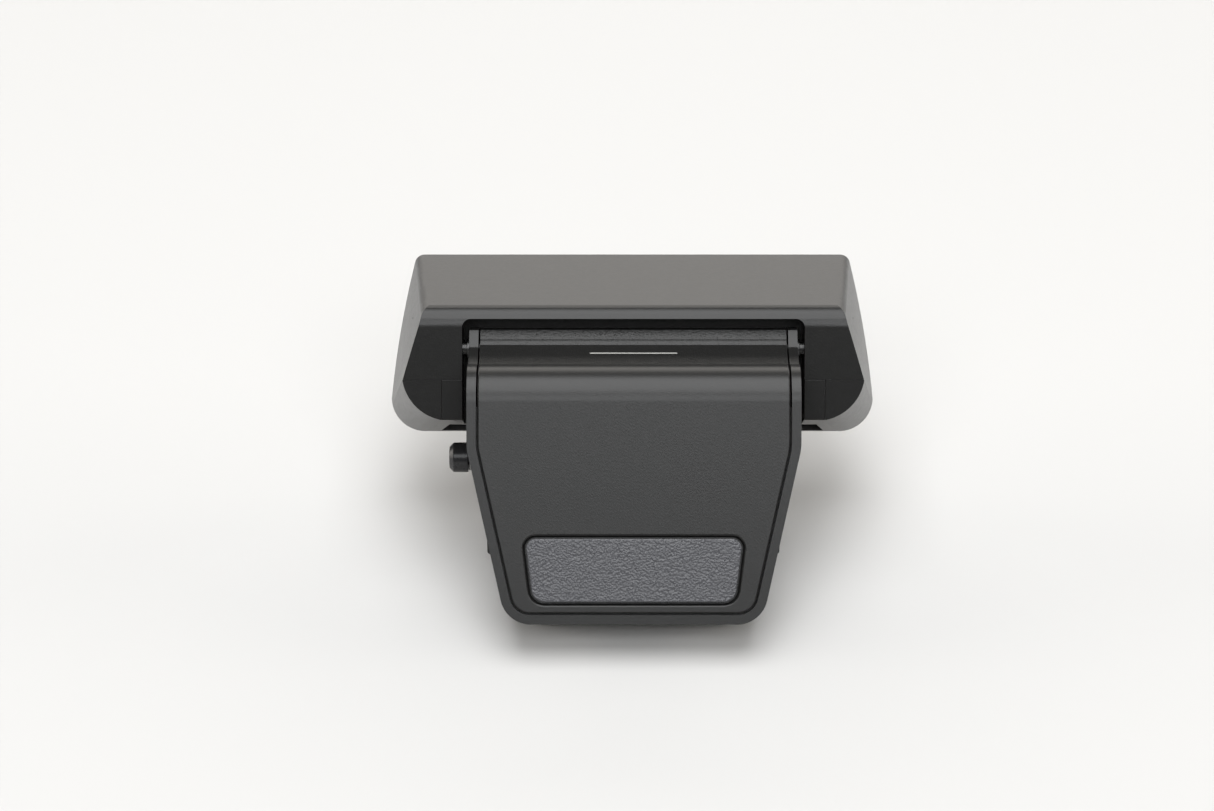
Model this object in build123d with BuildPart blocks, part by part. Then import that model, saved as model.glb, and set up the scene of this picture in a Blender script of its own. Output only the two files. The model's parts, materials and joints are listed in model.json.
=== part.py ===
"""A small folding speedlight: shoe foot and base, an arm that unfolds from the base, and a tilting flash head.

The frame is in millimetres. +X is to the right, +Y points away from the photographer, +Z is up, and the origin is
the middle contact's place on the shoe foot's underside. The arm leans back and the head hangs over the base: this
is the folded state.
"""

import os
from math import atan2, cos, radians, sin, tan

from build123d import *

# ---- driving dimensions ---------------------------------------------------------------------------------------
foot_width = 18.6  # the standard accessory shoe foot
foot_rear = -7.6
foot_front = 9.0
foot_height = 2.0
neck_width = 12.4
neck_height = 2.0

plate_angle = 55.0  # slope of the arm's rear face above the floor
arm_edge_y = -12.4  # the arm's lower edge
arm_edge_z = 3.8
arm_half = 14.94
arm_thickness = 8.0
rim = 0.84
gap = 0.12  # joint line between two covers
seam_gap = 0.02  # joint line between two head shells, which close on each other

fold_y = -7.1  # fold hinge, at the back of the base
fold_z = 5.6
lug_radius = 1.9

head_tilt = 26.4  # how far the beam points below the horizontal when folded
head_depth_behind = 1.97  # from the bounce axis back to the head's rear face
head_depth_front = 11.6  # from the bounce axis to the window's face
wall = 1.0

recess_half = 15.6
recess_top = 2.9
recess_back = 2.3

ridge_q = 24.8  # the bounce axis in the arm's own side view: along the slope, and behind the rear face
ridge_p = 8.6
pivot_radius = 0.6
running = 0.05  # radial clearance of every shaft

housing_floor = foot_height + neck_height
housing_top = fold_z + lug_radius
housing_half = 13.3
housing_front_y = 12.6

button_y = 10.1
button_z = 5.95
button_radius = 1.4
button_end = -17.2

os.makedirs("parts", exist_ok=True)


def save(part, name):
    """Labels a finished piece and writes its STEP file."""
    part.label = name
    export_step(part, f"parts/{name}.step")


# ---- frames of reference --------------------------------------------------------------------------------------
lean = radians(plate_angle)
slope_up = Vector(0, cos(lean), sin(lean))  # q: up along the arm's rear face
slope_in = Vector(0, sin(lean), -cos(lean))  # p: into the arm, away from the photographer
arm_origin = Vector(0, arm_edge_y, arm_edge_z)


def arm_point(q, p, x=0.0):
    """A point of the arm's side view, in the object's frame."""
    return arm_origin + slope_up * q + slope_in * p + Vector(x, 0, 0)


def arm_face(p):
    """The plane parallel to the rear face at depth p: local x is X and local y is q."""
    return Plane(arm_origin + slope_in * p, x_dir=(1, 0, 0), z_dir=slope_in * -1)


def arm_cross(q, p, x=0.0):
    """A plane across the object at a point of the arm's side view, for what runs along X."""
    return Plane(arm_point(q, p, x), x_dir=slope_up, z_dir=(-1, 0, 0))


tilt = radians(head_tilt)
beam = Vector(0, cos(tilt), -sin(tilt))
head_up = Vector(0, sin(tilt), cos(tilt))
bounce_axis = arm_point(ridge_q, ridge_p)
head_side = Plane(bounce_axis, x_dir=beam, z_dir=(1, 0, 0))  # side view, local x is s and local y is t


def head_section(s):
    """The plane across the beam at distance s from the bounce axis: local y is t, local x is -X."""
    return Plane(bounce_axis + beam * s, x_dir=(-1, 0, 0), z_dir=beam)


def head_point(s, t, x=0.0):
    """A point of the head's side view, in the object's frame."""
    return bounce_axis + beam * s + head_up * t + Vector(x, 0, 0)


# ---- outlines and construction solids -------------------------------------------------------------------------
taper_start = 15.7  # below this the arm's sides draw in
taper = 0.2255
corner_radius = 2.75


def arm_outline(inset, bottom_inset, top=30.0):
    """The arm's face outline: parallel sides, a taper towards the lower edge, and round lower corners."""
    half_bottom = arm_half - inset - (taper_start - bottom_inset) * taper
    with BuildSketch() as outline:
        with BuildLine():
            Polyline(
                (-half_bottom, bottom_inset),
                (half_bottom, bottom_inset),
                (arm_half - inset, taper_start),
                (arm_half - inset, top),
                (-arm_half + inset, top),
                (-arm_half + inset, taper_start),
                close=True,
            )
        make_face()
        fillet(outline.vertices().group_by(Axis.Y)[0], corner_radius - bottom_inset)
        fillet([v for v in outline.vertices() if abs(v.Y - taper_start) < 0.1], 5.0)
    return outline.sketch


def arm_prism(inset, bottom_inset, p_from, p_to, top=30.0):
    """The arm's face outline, extruded from depth p_from to depth p_to."""
    with BuildPart() as prism:
        with BuildSketch(arm_face(p_to)):
            add(arm_outline(inset, bottom_inset, top))
        extrude(amount=p_to - p_from)
    return prism.part


def arm_slab(points_maker, x_from, x_to):
    """A side profile of the arm, extruded across from x_from to x_to."""
    with BuildPart() as slab:
        with BuildSketch(Plane(arm_origin + Vector(x_to, 0, 0), x_dir=slope_up, z_dir=(-1, 0, 0))):
            with BuildLine():
                points_maker()
            make_face()
        extrude(amount=x_to - x_from)
    return slab.part


round_start = 19.85
round_radius = 3.4
crest_q = round_start + round_radius


def arm_section():
    """The arm's whole side profile: flat rear face, round shoulder, deck, hinge barrel, and stepped underside."""
    Line((0, 0), (round_start, 0))
    CenterArc((round_start, round_radius), round_radius, -90, 90)
    Polyline((crest_q, round_radius), (23.05, 3.7), (24.7, 6.3), (25.0, 6.5), (26.4, 7.1))
    ThreePointArc((26.4, 7.1), (26.45, 9.2), (24.8, 10.35))
    Polyline((24.8, 10.35), (22.6, arm_thickness), (10.9, arm_thickness), (6.35, 1.5))
    Polyline((6.35, 1.5), (2.2, 1.3), (0, 1.1), (0, 0))


def panel_section():
    """The rear panel's side profile: a flat sheet that curls over the shoulder to the crest."""
    sheet = 1.0
    Line((0.85 + gap, 0), (round_start, 0))
    CenterArc((round_start, round_radius), round_radius, -90, 90)
    Line((crest_q, round_radius), (crest_q - sheet, round_radius))
    CenterArc((round_start, round_radius), round_radius - sheet, 0, -90)
    Polyline((round_start, sheet), (0.85 + gap, sheet), (0.85 + gap, 0))


def hinge_cover_section():
    """The hinge cover's side profile: the sloping deck, then the ridge with its flat facet, and a round back."""
    Polyline((23.05, 3.75), (25.05, 6.8), (25.42, 6.96), (25.48, 7.06), (25.56, 7.02), (26.45, 7.44))
    ThreePointArc((26.45, 7.44), (26.47, 9.1), (24.8, 10.35))
    ThreePointArc((24.8, 10.35), (23.3, 9.5), (23.05, 8.0))
    Polyline((23.05, 8.0), (22.3, 5.2), (22.0, 3.75), (23.05, 3.75))


def front_cover_section():
    """The front cover's side profile: it closes the side of the arm that faces the base and the head."""
    Polyline((22.5, arm_thickness), (10.9, arm_thickness), (7.3, 2.85), (8.5, 2.85), (11.5, 7.0), (22.5, 7.0))
    Line((22.5, 7.0), (22.5, arm_thickness))


head_rear = -head_depth_behind
rear_sizes = {
    "top": 3.65,
    "half_top": 19.1,
    "half_mid": 20.2,
    "half": 21.05,
    "side_end": -2.75,
    "flat": 17.6,
    "bottom": -6.37,
    "bulge": 0.655,
}
front_sizes = {
    "top": 7.35,
    "half_top": 20.35,
    "half_mid": 22.0,
    "half": 22.86,
    "side_end": -6.4,
    "flat": 19.45,
    "bottom": -9.55,
    "bulge": 0.715,
}


def head_sizes(s, inset):
    """The head's outline sizes at distance s from the bounce axis, drawn in by a wall's thickness."""
    share = (s - head_rear) / (head_depth_front - head_rear)
    sizes = {key: rear_sizes[key] + share * (front_sizes[key] - rear_sizes[key]) for key in rear_sizes}
    for key in ("half_top", "half_mid", "half"):
        sizes[key] -= inset
    sizes["top"] -= inset
    sizes["bottom"] += inset
    return sizes


def head_outline(s, inset, top_corner=0.95):
    """The head's outline across the beam: flat top and bottom, bowed leaning sides, large lower corners."""
    n = head_sizes(s, inset)
    mid_t = 0.45 * n["top"] + 0.55 * n["side_end"]
    corner_x = n["flat"] + (n["half"] - n["flat"]) * n["bulge"]
    corner_t = n["side_end"] + (n["bottom"] - n["side_end"]) * n["bulge"]
    with BuildSketch() as outline:
        with BuildLine() as edge:
            Line((0, n["top"]), (n["half_top"], n["top"]))
            ThreePointArc((n["half_top"], n["top"]), (n["half_mid"], mid_t), (n["half"], n["side_end"]))
            ThreePointArc((n["half"], n["side_end"]), (corner_x, corner_t), (n["flat"], n["bottom"]))
            Line((n["flat"], n["bottom"]), (0, n["bottom"]))
            mirror(edge.line, about=Plane.YZ)
        make_face()
        fillet(outline.vertices().group_by(Axis.Y)[-1].sort_by(Axis.X)[0], top_corner)
        fillet(outline.vertices().group_by(Axis.Y)[-1].sort_by(Axis.X)[-1], top_corner)
    return outline.sketch


def head_block(s_from, s_to, inset):
    """The head's tapering body between two sections."""
    with BuildPart() as block:
        for s in (s_from, s_to):
            with BuildSketch(head_section(s)):
                add(head_outline(s, inset))
        loft()
    return block.part


def head_box(s_from, s_to, t_from, t_to, half):
    """A block in the head's frame, centred on the object's middle plane."""
    with BuildPart() as block:
        with BuildSketch(head_side):
            with Locations(((s_from + s_to) / 2, (t_from + t_to) / 2)):
                Rectangle(s_to - s_from, t_to - t_from)
        extrude(amount=half, both=True)
    return block.part


def edge_rounder(radius):
    """What the rounded upper rear edge takes away from the head's sharp corner, across the whole width."""
    rise = atan2(front_sizes["top"] - rear_sizes["top"], head_depth_front - head_rear)
    centre_s = head_rear + radius
    centre_t = rear_sizes["top"] + radius * tan(rise) - radius / cos(rise)
    outside = 2.0
    with BuildPart() as rounder:
        with BuildSketch(head_side):
            with BuildLine():
                Polyline(
                    (head_rear, centre_t),
                    (head_rear - outside, centre_t),
                    (head_rear - outside, centre_t + radius + outside),
                    (centre_s - (radius + outside) * sin(rise), centre_t + (radius + outside) * cos(rise)),
                    (centre_s, centre_t),
                    close=True,
                )
            make_face()
            with Locations((centre_s, centre_t)):
                Circle(radius, mode=Mode.SUBTRACT)
        extrude(amount=30, both=True)
    return rounder.part


def recess_walls():
    """The block around the recess, kept inside the head's outer skin, from which the recess is cut."""
    with BuildPart() as walls:
        add(head_block(head_rear, head_depth_front - 0.5, 0.4))
        block = head_box(head_rear + 0.5, recess_back + wall, -12.0, recess_top + 0.6, recess_half + wall)
        add(block, mode=Mode.INTERSECT)
    return walls.part


notch_start = 5.4  # measured along the lower wall from the rear edge
notch_end = 13.0
notch_depth = 0.9
notch_rear_half = 17.0
notch_front_half = 18.1
notch_floor = 0.6
droop = atan2(rear_sizes["bottom"] - front_sizes["bottom"], head_depth_front - head_rear)
lower_wall = Plane(
    head_point(head_rear, rear_sizes["bottom"]),
    x_dir=(1, 0, 0),
    z_dir=head_up * -cos(droop) - beam * sin(droop),
)


def lower_wall_slab(half_rear, half_front, near, far, depth_from, depth_to):
    """A slab parallel to the head's lower wall, between two depths inside it."""
    with BuildPart() as slab:
        with BuildSketch(lower_wall.offset(-depth_from)):
            with BuildLine():
                Polyline(
                    (-half_rear, -near), (half_rear, -near), (half_front, -far), (-half_front, -far), close=True
                )
            make_face()
        extrude(amount=depth_from - depth_to)
    return slab.part


def make_head_shell():
    """The whole hollow head, before it is cut along its joint lines."""
    with BuildPart() as shell:
        add(head_block(head_rear, head_depth_front, 0))
        add(head_block(head_rear + wall, head_depth_front + 1.0, wall), mode=Mode.SUBTRACT)
        add(recess_walls())
        rear_half = notch_rear_half + notch_floor
        front_half = notch_front_half + notch_floor
        add(lower_wall_slab(rear_half, front_half, 4.6, notch_end + 0.3, 0.5, notch_depth + notch_floor))
        pocket = lower_wall_slab(notch_rear_half, notch_front_half, notch_start, notch_end, -1.0, notch_depth)
        add(pocket, mode=Mode.SUBTRACT)
        add(edge_rounder(2.0), mode=Mode.SUBTRACT)
        with BuildSketch(head_section(recess_back)) as recess:
            with Locations((0, recess_top - 7.5)):
                Rectangle(2 * recess_half, 15.0)
            fillet(recess.vertices().group_by(Axis.Y)[-1], 0.8)
        extrude(amount=-(recess_back - head_rear + 2.0), mode=Mode.SUBTRACT)
    return shell.part


parting_slope = 18.0
parting_t = -2.67
parting_plane = Plane(
    head_point(head_rear, parting_t),
    x_dir=(1, 0, 0),
    z_dir=head_up * cos(radians(parting_slope)) + beam * sin(radians(parting_slope)),
)
seam_rear = 17.5
seam_front = 19.5
seam_turn = (seam_front - seam_rear) / (head_depth_front - head_rear)


def seam_plane(side, shift):
    """The plane of the seam between the bottom cover and an end cap, moved outwards by shift."""
    outward = Vector(side, 0, 0) - beam * seam_turn
    return Plane(head_point(head_rear, 0, side * (seam_rear + shift)), x_dir=head_up, z_dir=outward)


def parting_shifted(shift):
    """The parting plane, moved up by shift."""
    return parting_plane.offset(shift)


head_shell = make_head_shell()

# ---- base: foot, housing, cover, hinge pin and what is inside -------------------------------------------------
contact_places = [(0.0, 0.0), (-3.3, 3.2), (3.3, 3.2), (-1.8, 6.2), (1.8, 6.2)]
contact_tip = 0.6
contact_flange = 0.85
contact_step = 1.0
contact_room = 3.4

with BuildPart() as shoe_foot:
    with BuildSketch():
        with Locations((0, (foot_rear + foot_front) / 2)):
            RectangleRounded(foot_width, foot_front - foot_rear, 0.8)
    extrude(amount=foot_height)
    chamfer(shoe_foot.edges().group_by(Axis.Z)[-1], 0.25)
    chamfer(shoe_foot.edges().group_by(Axis.Z)[0], 0.25)
    with BuildSketch(Plane.XY.offset(foot_height)):
        with Locations((0, 2.9)):
            RectangleRounded(neck_width, 12.2, 0.8)
    extrude(amount=neck_height)
    with Locations(*[(x, y, 0) for x, y in contact_places]):
        Cylinder(
            contact_tip + running, contact_step, align=(Align.CENTER, Align.CENTER, Align.MIN), mode=Mode.SUBTRACT
        )
    with Locations(*[(x, y, contact_step) for x, y in contact_places]):
        Cylinder(
            contact_flange + running,
            contact_room - contact_step,
            align=(Align.CENTER, Align.CENTER, Align.MIN),
            mode=Mode.SUBTRACT,
        )
save(shoe_foot.part, "shoe_foot")

cover_thickness = 0.8
screw_places = [(-11.2, -1.0), (11.2, -1.0), (-11.2, 7.0), (11.2, 7.0)]


def housing_outline(inset):
    """The base housing's plan: wide at the front, narrow where the hinge lugs reach back between the arm's ears."""
    with BuildSketch() as outline:
        with BuildLine():
            Polyline(
                (-9.2 + inset, fold_y + inset),
                (9.2 - inset, fold_y + inset),
                (9.2 - inset, -3.1 + inset),
                (housing_half - inset, -3.1 + inset),
                (housing_half - inset, housing_front_y - inset),
                (-housing_half + inset, housing_front_y - inset),
                (-housing_half + inset, -3.1 + inset),
                (-9.2 + inset, -3.1 + inset),
                close=True,
            )
        make_face()
        fillet(outline.vertices().group_by(Axis.Y)[-1], 2.4 - inset)
    return outline.sketch


lug_plane = Plane((0, fold_y, fold_z), x_dir=(0, 1, 0), z_dir=(1, 0, 0))
lug_inner = 4.2
lug_outer = 9.2

with BuildPart() as base_housing:
    with BuildSketch(Plane.XY.offset(housing_floor + cover_thickness)):
        add(housing_outline(0))
    extrude(amount=housing_top - housing_floor - cover_thickness)
    chamfer(base_housing.edges().group_by(Axis.Z)[-1].sort_by(Axis.Y)[-1], 1.3)
    with BuildSketch(Plane.XY.offset(housing_floor)):
        add(housing_outline(wall))
    extrude(amount=housing_top - housing_floor - wall, mode=Mode.SUBTRACT)
    with BuildSketch(lug_plane):
        Circle(lug_radius)
    extrude(amount=lug_outer, both=True)
    with BuildSketch(lug_plane):
        with Locations((1.5, 0)):
            Rectangle(3.0, 2 * lug_radius)
    extrude(amount=lug_outer, both=True)
    with BuildSketch(lug_plane):
        Circle(0.5)
    extrude(amount=lug_outer + 1, both=True, mode=Mode.SUBTRACT)
    with BuildSketch(lug_plane):
        with Locations((-0.2, 0)):
            Rectangle(6.5, 6.0)
    extrude(amount=lug_inner, both=True, mode=Mode.SUBTRACT)
    with Locations(*[(x, y, housing_floor + cover_thickness) for x, y in screw_places]):
        Cylinder(
            1.3,
            housing_top - wall / 2 - housing_floor - cover_thickness,
            align=(Align.CENTER, Align.CENTER, Align.MIN),
        )
    with Locations(*[(x, y, housing_floor) for x, y in screw_places]):
        Cylinder(0.5, 2.4, align=(Align.CENTER, Align.CENTER, Align.MIN), mode=Mode.SUBTRACT)
    with BuildSketch(Plane((-housing_half - 2, button_y, button_z), x_dir=(0, 1, 0), z_dir=(1, 0, 0))):
        Circle(0.9)
    extrude(amount=4.5, mode=Mode.SUBTRACT)
save(base_housing.part, "base_housing")

with BuildPart() as base_cover:
    with BuildSketch(Plane.XY.offset(housing_floor)):
        add(housing_outline(0))
        with Locations((0, fold_y + 1.2)):
            Rectangle(30, 6.5, mode=Mode.SUBTRACT)
    extrude(amount=cover_thickness)
    chamfer(base_cover.edges().group_by(Axis.Z)[0].sort_by(Axis.Y)[-1], 0.4)
    with Locations(*[(x, y, housing_floor) for x, y in screw_places]):
        Cylinder(0.5, cover_thickness, align=(Align.CENTER, Align.CENTER, Align.MIN), mode=Mode.SUBTRACT)
        Cylinder(0.95, 0.4, align=(Align.CENTER, Align.CENTER, Align.MIN), mode=Mode.SUBTRACT)
save(base_cover.part, "base_cover")

with BuildPart() as base_screws:
    for x, y in screw_places:
        with Locations((x, y, housing_floor + 0.02)):
            Cylinder(0.92, 0.38, align=(Align.CENTER, Align.CENTER, Align.MIN))
        with Locations((x, y, housing_floor + 0.4)):
            Cylinder(0.46, 1.9, align=(Align.CENTER, Align.CENTER, Align.MIN))
        with Locations((x, y, housing_floor)):
            Box(1.2, 0.2, 0.2, align=(Align.CENTER, Align.CENTER, Align.MIN), mode=Mode.SUBTRACT)
            Box(0.2, 1.2, 0.2, align=(Align.CENTER, Align.CENTER, Align.MIN), mode=Mode.SUBTRACT)
save(base_screws.part, "base_screws")

with BuildPart() as base_plate:
    with BuildSketch(Plane.XY.offset(housing_floor + cover_thickness + 0.02)):
        with Locations((0, 4.4)):
            Rectangle(19.4, 12.4)
    extrude(amount=0.8)
save(base_plate.part, "base_plate")

with BuildPart() as base_board:
    with BuildSketch(Plane.XY.offset(housing_floor + cover_thickness + 0.9)):
        with Locations((2.0, 3.8)):
            Rectangle(15.0, 11.2)
    extrude(amount=0.6)
save(base_board.part, "base_board")

with BuildPart() as fold_hinge_pin:
    with BuildSketch(lug_plane):
        Circle(0.5)
    extrude(amount=11.6, both=True)
save(fold_hinge_pin.part, "fold_hinge_pin")

spring_wire = 0.3
with BuildPart() as fold_torsion_spring:
    for turn in range(6):
        with BuildSketch(Plane((-2.0 + turn * 0.7, fold_y, fold_z), x_dir=(0, 1, 0), z_dir=(1, 0, 0))):
            Circle(0.95)
            Circle(0.95 - spring_wire, mode=Mode.SUBTRACT)
        extrude(amount=0.71)
save(fold_torsion_spring.part, "fold_torsion_spring")

button_side = Plane((button_end, button_y, button_z), x_dir=(0, 1, 0), z_dir=(1, 0, 0))
guide_outer = -housing_half - 1.0
with BuildPart() as button_guide:
    with BuildSketch(Plane((guide_outer, button_y, button_z), x_dir=(0, 1, 0), z_dir=(1, 0, 0))):
        Circle(1.5)
        Circle(0.75 + running, mode=Mode.SUBTRACT)
    extrude(amount=1.0)
    chamfer(button_guide.edges().group_by(Axis.X)[0].sort_by(SortBy.LENGTH)[-1], 0.2)
save(button_guide.part, "button_guide")

# ---- release button and its spring ----------------------------------------------------------------------------
button_cap = 1.8
with BuildPart() as release_button:
    with BuildSketch(button_side):
        Circle(button_radius)
    extrude(amount=button_cap)
    chamfer(release_button.edges().group_by(Axis.X)[0], 0.4)
    with BuildSketch(button_side):
        Circle(0.75)
    extrude(amount=button_cap + 3.2)
save(release_button.part, "release_button")

with BuildPart() as button_spring:
    with BuildSketch(Plane((button_end + button_cap, button_y, button_z), x_dir=(0, 1, 0), z_dir=(1, 0, 0))):
        Circle(1.25)
        Circle(0.95, mode=Mode.SUBTRACT)
    extrude(amount=guide_outer - button_end - button_cap)
save(button_spring.part, "button_spring")

# ---- contact pins and their springs ---------------------------------------------------------------------------
for number, (x, y) in enumerate(contact_places, start=1):
    with BuildPart() as contact_pin:
        with Locations((x, y, 0.05)):
            Cylinder(contact_tip, 1.0, align=(Align.CENTER, Align.CENTER, Align.MIN))
        chamfer(contact_pin.edges().group_by(Axis.Z)[0], 0.15)
        with Locations((x, y, contact_step + 0.01)):
            Cylinder(contact_flange, 0.4, align=(Align.CENTER, Align.CENTER, Align.MIN))
        with Locations((x, y, contact_step + 0.3)):
            Cylinder(0.35, 1.1, align=(Align.CENTER, Align.CENTER, Align.MIN))
    save(contact_pin.part, f"contact_pin_{number}")
    with BuildPart() as contact_spring:
        with BuildSketch(Plane.XY.offset(contact_step + 0.41)):
            with Locations((x, y)):
                Circle(0.78)
                Circle(0.5, mode=Mode.SUBTRACT)
        extrude(amount=contact_room - contact_step - 0.42)
    save(contact_spring.part, f"contact_spring_{number}")

# ---- arm: frame, panel, pad, hinge cover, front cover and what is inside --------------------------------------
ear_inner = 9.6
bar_q = 21.1  # the bar across the arm that the upper screws bite in
bar_p = 5.8
bar_width = 1.5
bar_depth = 2.3
boss_radius = 1.75
arm_screw_places = [(-10.5, bar_q), (10.5, bar_q), (-12.3, 13.8), (12.3, 13.8)]


def fold_ear(side):
    """One of the arm's two ears, which turn on the fold pin: a disc with a web that ties it to the side wall."""
    with BuildPart() as ear:
        with BuildSketch(Plane((side * ear_inner, fold_y, fold_z), x_dir=(0, 1, 0), z_dir=(side, 0, 0))):
            Circle(1.85)
        extrude(amount=4.0)
        with BuildSketch(arm_cross(4.51, 2.2, side * ear_inner)):
            Rectangle(3.7, 2.2)
        extrude(amount=side * -4.0)
        add(arm_prism(0, 0, -1, 12), mode=Mode.INTERSECT)
    return ear.part



ledge_width = 0.7


def panel_ledge():
    """The shelf inside the frame that the rear panel's edge rests on."""
    with BuildPart() as ledge:
        add(arm_prism(0.5, 0.5, 1.02, 1.6, top=19.4))
        add(arm_prism(rim + ledge_width, 0.85 + ledge_width, 0, 3), mode=Mode.SUBTRACT)
        add(arm_slab(arm_section, -arm_half, arm_half), mode=Mode.INTERSECT)
    return ledge.part


with BuildPart() as arm_frame:
    add(arm_slab(arm_section, -arm_half, arm_half))
    add(arm_prism(0, 0, -1, 12), mode=Mode.INTERSECT)
    add(arm_prism(rim, 0.85, -1, 12), mode=Mode.SUBTRACT)
    add(panel_ledge())
    for side in (-1, 1):
        add(fold_ear(side))
        with BuildSketch(arm_face(6.95)):
            with Locations((side * 12.3, 13.8)):
                Circle(boss_radius)
        extrude(amount=4.0)
    with BuildSketch(arm_cross(bar_q, bar_p)):
        Rectangle(bar_width, bar_depth)
    extrude(amount=arm_half - rim / 2, both=True)
    with BuildSketch(lug_plane):
        Circle(0.5 + running)
    extrude(amount=11.65, both=True, mode=Mode.SUBTRACT)
    with BuildSketch(arm_face(8.1)):
        with Locations(*arm_screw_places):
            Circle(0.45)
    extrude(amount=3.6, mode=Mode.SUBTRACT)
    with BuildSketch(arm_cross(ridge_q, ridge_p)):
        Circle(pivot_radius)
    extrude(amount=20, both=True, mode=Mode.SUBTRACT)
save(arm_frame.part, "arm_frame")

pad_outline_points = [(-9.0, 2.0), (9.0, 2.0), (9.72, 7.64), (-9.72, 7.64)]
pad_groove = 0.27
pad_depth = 0.5


def pad_outline(grow):
    """The thumb pad's outline: a little wider at the top, rounder at the bottom."""
    with BuildSketch() as outline:
        with BuildLine():
            Polyline(*pad_outline_points, close=True)
        make_face()
        fillet(outline.vertices().group_by(Axis.Y)[0], 1.2)
        fillet(outline.vertices().group_by(Axis.Y)[-1], 0.85)
        if grow > 0:
            offset(amount=grow)
    return outline.sketch


with BuildPart() as rear_panel:
    add(arm_slab(panel_section, -arm_half, arm_half))
    add(arm_prism(rim + gap, 0.85 + gap, -1, 12), mode=Mode.INTERSECT)
    with BuildSketch(arm_face(pad_depth)):
        add(pad_outline(pad_groove))
    extrude(amount=2, mode=Mode.SUBTRACT)
save(rear_panel.part, "rear_panel")

with BuildPart() as thumb_pad:
    with BuildSketch(arm_face(pad_depth)):
        add(pad_outline(0))
    extrude(amount=pad_depth + 0.06)
    fillet(thumb_pad.faces().sort_by_distance(arm_point(4.7, -0.1))[0].edges(), 0.12)
save(thumb_pad.part, "thumb_pad")

deck_direction = Vector(25.05 - 23.05, 6.8 - 3.75).normalized()
line_q = 24.3
line_p = 3.75 + (line_q - 23.05) * deck_direction.Y / deck_direction.X
deck_normal = slope_up * deck_direction.Y - slope_in * deck_direction.X
line_length = 7.95
line_width = 0.2
line_depth = 0.15


def line_box(depth, grow):
    """The index line's bar, sunk in the deck."""
    with BuildPart() as bar:
        floor_point = arm_point(line_q, line_p) - deck_normal * depth
        with BuildSketch(Plane(floor_point, x_dir=(1, 0, 0), z_dir=deck_normal)):
            Rectangle(line_length + grow, line_width + grow)
        extrude(amount=depth + grow)
    return bar.part


cover_half = arm_half - rim - gap
with BuildPart() as hinge_cover:
    add(arm_slab(hinge_cover_section, -cover_half, cover_half))
    add(line_box(line_depth, 0.02), mode=Mode.SUBTRACT)
    with BuildSketch(arm_cross(ridge_q, ridge_p)):
        Circle(pivot_radius)
    extrude(amount=20, both=True, mode=Mode.SUBTRACT)
save(hinge_cover.part, "hinge_cover")

save(line_box(line_depth, 0), "index_line")

with BuildPart() as front_cover:
    add(arm_slab(front_cover_section, -arm_half, arm_half))
    add(arm_prism(rim + 0.05, 0.85, -1, 12), mode=Mode.INTERSECT)
    with BuildSketch(arm_face(8.1)):
        with Locations(*arm_screw_places):
            Circle(0.5)
    extrude(amount=2, mode=Mode.SUBTRACT)
    with BuildSketch(arm_face(8.1)):
        with Locations(*arm_screw_places):
            Circle(0.95)
    extrude(amount=0.5, mode=Mode.SUBTRACT)
save(front_cover.part, "front_cover")

with BuildPart() as arm_screws:
    for x, q in arm_screw_places:
        with BuildSketch(arm_face(7.98)):
            with Locations((x, q)):
                Circle(0.9)
        extrude(amount=0.36)
        with BuildSketch(arm_face(7.7)):
            with Locations((x, q)):
                Circle(0.42)
        extrude(amount=2.8)
        with BuildSketch(arm_face(7.98)):
            with Locations((x, q)):
                Rectangle(1.2, 0.2)
                Rectangle(0.2, 1.2)
        extrude(amount=0.2, mode=Mode.SUBTRACT)
save(arm_screws.part, "arm_screws")

with BuildPart() as main_capacitor:
    with BuildSketch(arm_cross(17.4, 3.9)):
        Circle(2.7)
    extrude(amount=10.3, both=True)
    fillet(main_capacitor.edges(), 0.3)
save(main_capacitor.part, "main_capacitor")

with BuildPart() as circuit_board:
    with BuildSketch(arm_face(2.9)):
        with Locations((0, 12.2)):
            Rectangle(20.0, 4.6)
    extrude(amount=0.8)
save(circuit_board.part, "circuit_board")

with BuildPart() as transformer:
    with BuildSketch(arm_face(5.6)):
        with Locations((-4.5, 12.3)):
            Rectangle(6.5, 3.4)
    extrude(amount=2.7)
save(transformer.part, "transformer")

with BuildPart() as trigger_coil:
    with BuildSketch(arm_cross(12.4, 4.4, 8.0)):
        Circle(1.45)
    extrude(amount=5.0)
save(trigger_coil.part, "trigger_coil")

with BuildPart() as pivot_pins:
    for side in (-1, 1):
        with BuildSketch(arm_cross(ridge_q, ridge_p, side * 10.0)):
            Circle(pivot_radius)
        extrude(amount=side * -6.5)
save(pivot_pins.part, "pivot_pins")

with BuildPart() as pivot_washers:
    for side in (-1, 1):
        with BuildSketch(arm_cross(ridge_q, ridge_p, side * (arm_half + 0.02))):
            Circle(0.85)
            Circle(pivot_radius, mode=Mode.SUBTRACT)
        extrude(amount=side * -0.25)
save(pivot_washers.part, "pivot_washers")

# ---- head: shells, window, reflector, tube --------------------------------------------------------------------
with BuildPart() as head_top_shell:
    add(head_shell)
    split(bisect_by=parting_shifted(seam_gap / 2), keep=Keep.TOP)
    for side in (-1, 1):
        with BuildSketch(Plane(head_point(3.4, -2.6, side * 19.3), x_dir=(1, 0, 0), z_dir=head_up)):
            Circle(1.1)
        extrude(amount=5.0)
    with BuildSketch(arm_cross(ridge_q, ridge_p)):
        Circle(pivot_radius + running)
    extrude(amount=20, both=True, mode=Mode.SUBTRACT)
    split(bisect_by=parting_shifted(seam_gap / 2), keep=Keep.TOP)
save(head_top_shell.part, "head_top_shell")

for side, name in ((-1, "head_end_cap_left"), (1, "head_end_cap_right")):
    with BuildPart() as end_cap:
        add(head_shell)
        split(bisect_by=parting_shifted(-seam_gap / 2), keep=Keep.BOTTOM)
        split(bisect_by=seam_plane(side, seam_gap / 2), keep=Keep.TOP)
    save(end_cap.part, name)

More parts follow.
